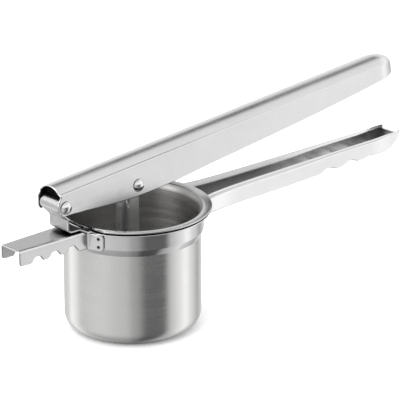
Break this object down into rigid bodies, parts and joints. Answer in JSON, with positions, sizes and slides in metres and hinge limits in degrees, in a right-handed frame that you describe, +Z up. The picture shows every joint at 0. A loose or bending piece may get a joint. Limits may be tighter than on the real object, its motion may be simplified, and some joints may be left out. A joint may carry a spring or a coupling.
{
  "type": "potato ricer",
  "caption": "Stainless steel potato ricer: perforated basket in a ring frame, notched front rest, lower handle and a hinged lever that drives a press disc.",
  "frame": {"origin": "centre of the basket's base, on the flat underside that the ricer stands on", "axes": "+X towards the free ends of the lever and lower handle, +Z up along the basket's axis, so the hinge pin runs along Y"},
  "size_m": [0.3282, 0.0998, 0.1315],
  "materials": {
    "basket_steel": "brushed round the wall, polished lip",
    "frame_steel": "satin polished pressed sheet",
    "lever_steel": "bright satin with soft reflections",
    "rivet_steel": "mirror polished",
    "plunger_steel": "satin"
  },
  "bodies": {
    "frame": {"basket": "basket_steel", "ring_frame": "frame_steel", "front_rest": "frame_steel", "lower_handle": "frame_steel"},
    "lever": {"lever": "lever_steel", "hinge_rivet": "rivet_steel", "plunger_rivet": "rivet_steel", "stem_spacers": "rivet_steel"},
    "plunger": {"plunger_stem": "plunger_steel", "press_disc": "plunger_steel"}
  },
  "joints": [
    {"name": "lever_hinge", "type": "hinge", "parent": "frame", "child": "lever", "pos_m": [-0.061, 0, 0.095], "axis": [0, -1, 0], "range_deg": [0, 48]},
    {"name": "plunger_pivot", "type": "hinge", "parent": "lever", "child": "plunger", "pos_m": [-0.0035, 0, 0.0955], "axis": [0, -1, 0], "range_deg": [-38, 0]}
  ],
  "couplings": [
    {"joint": "plunger_pivot", "follows": "lever_hinge", "ratio": -0.77}
  ]
}
